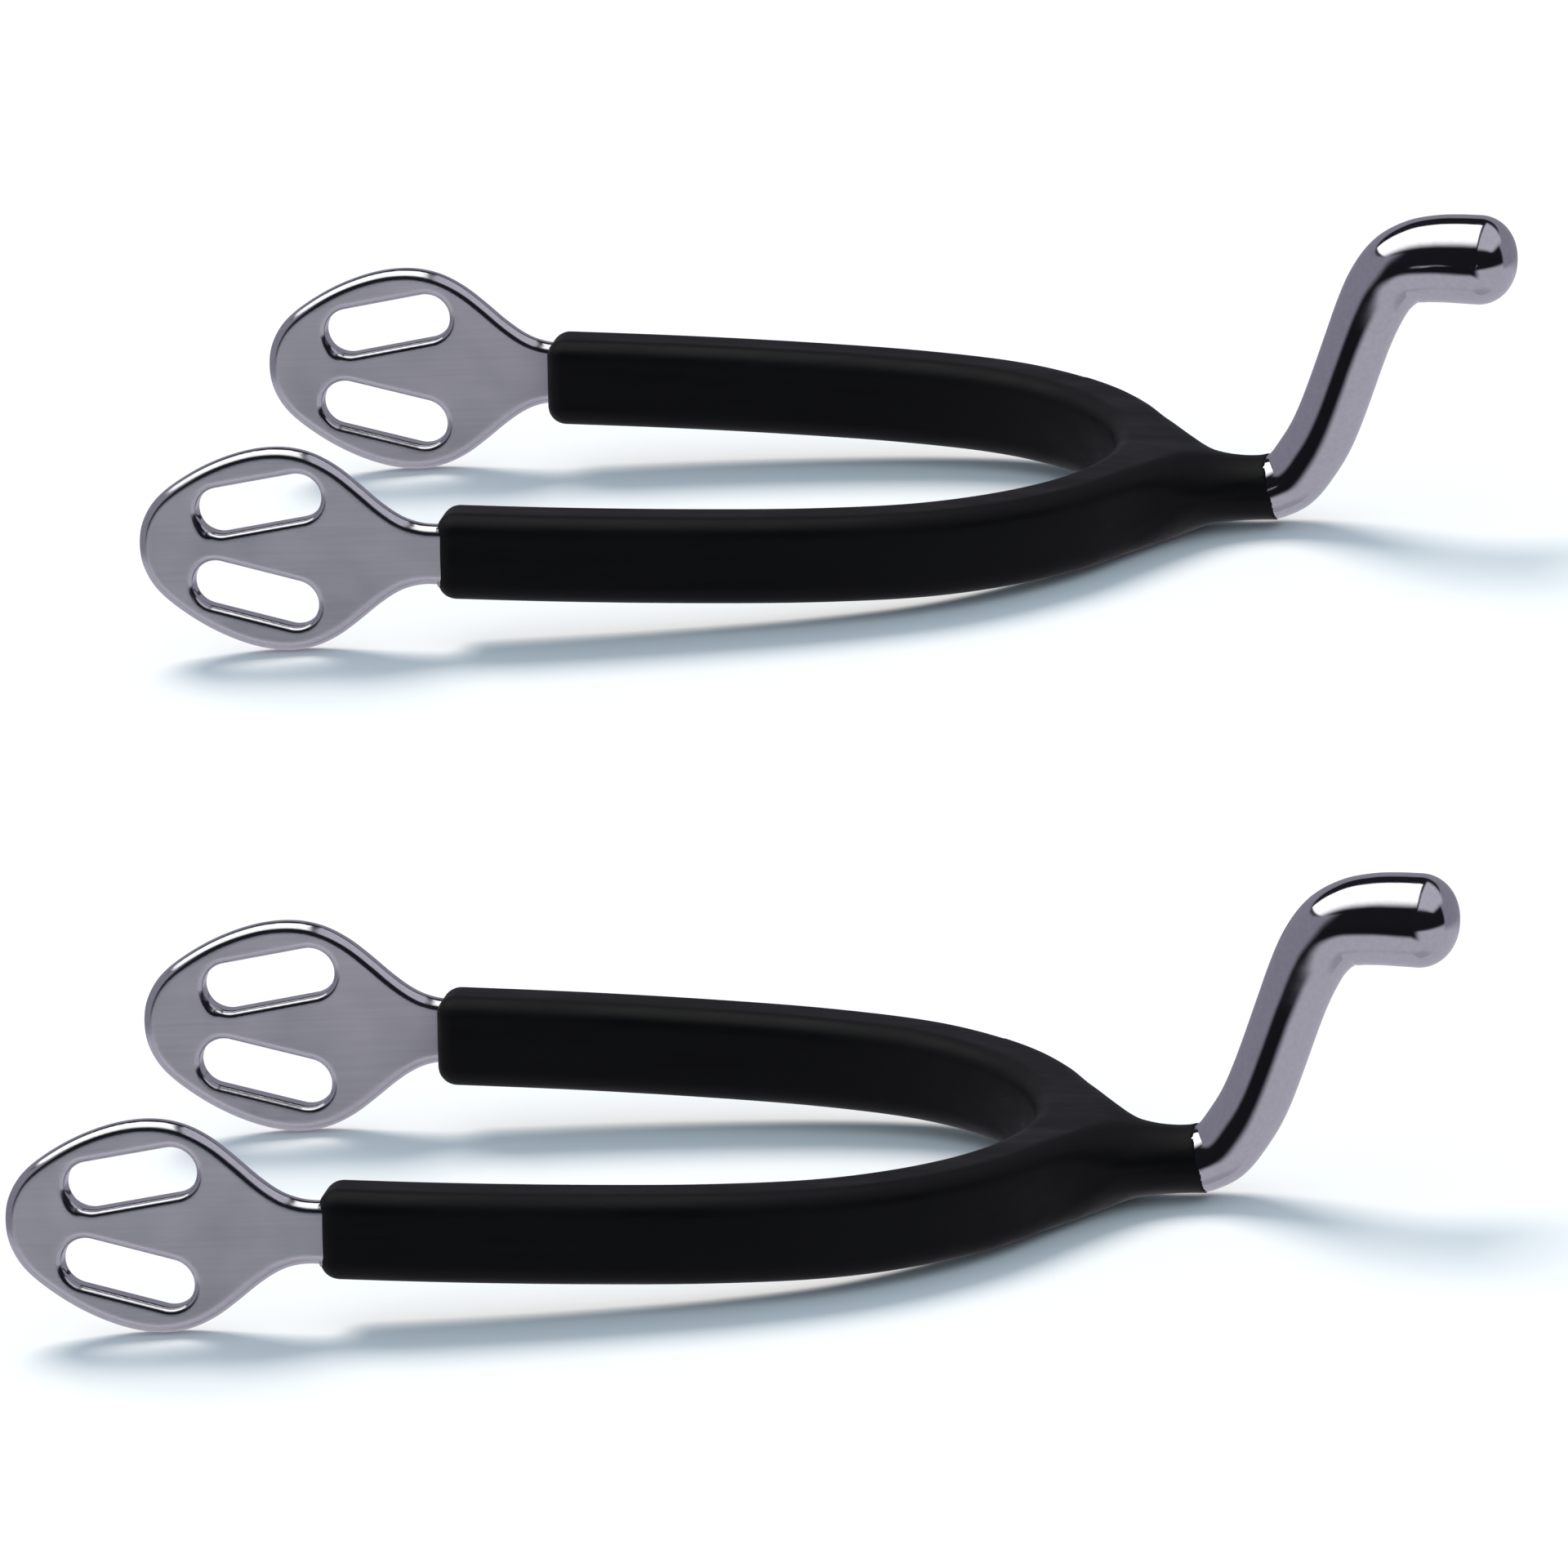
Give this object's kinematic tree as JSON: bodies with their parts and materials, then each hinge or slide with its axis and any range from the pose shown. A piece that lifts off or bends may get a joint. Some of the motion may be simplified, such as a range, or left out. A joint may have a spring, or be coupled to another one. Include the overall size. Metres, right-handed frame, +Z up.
{
  "type": "pair of riding spurs",
  "caption": "Pair of English riding spurs: steel yoke with slotted strap plates, moulded black rubber cover and a swan-neck steel shank with a rounded tip.",
  "frame": {"origin": "on the floor, at the centre of the bounding box of the pair", "axes": "+Z up with the spurs standing as worn, shank rising; +X back along the shanks, from the strap plates to the tips; +Y from the right spur to the left spur"},
  "size_m": [0.2122, 0.3788, 0.0386],
  "materials": {
    "steel_band": "polished stainless steel, fine haze on the flats",
    "steel_shank": "mirror-polished stainless steel",
    "black_rubber": "satin moulded rubber"
  },
  "bodies": {
    "left_spur": {"left_heel_band": "steel_band", "left_shank": "steel_shank", "left_rubber_cover": "black_rubber"},
    "right_spur": {"right_heel_band": "steel_band", "right_shank": "steel_shank", "right_rubber_cover": "black_rubber"}
  },
  "joints": [
    {"name": "right_spur_slide", "type": "slide", "parent": "left_spur", "child": "right_spur", "axis": [0, -1, 0], "range_m": [0, 0.1]}
  ]
}
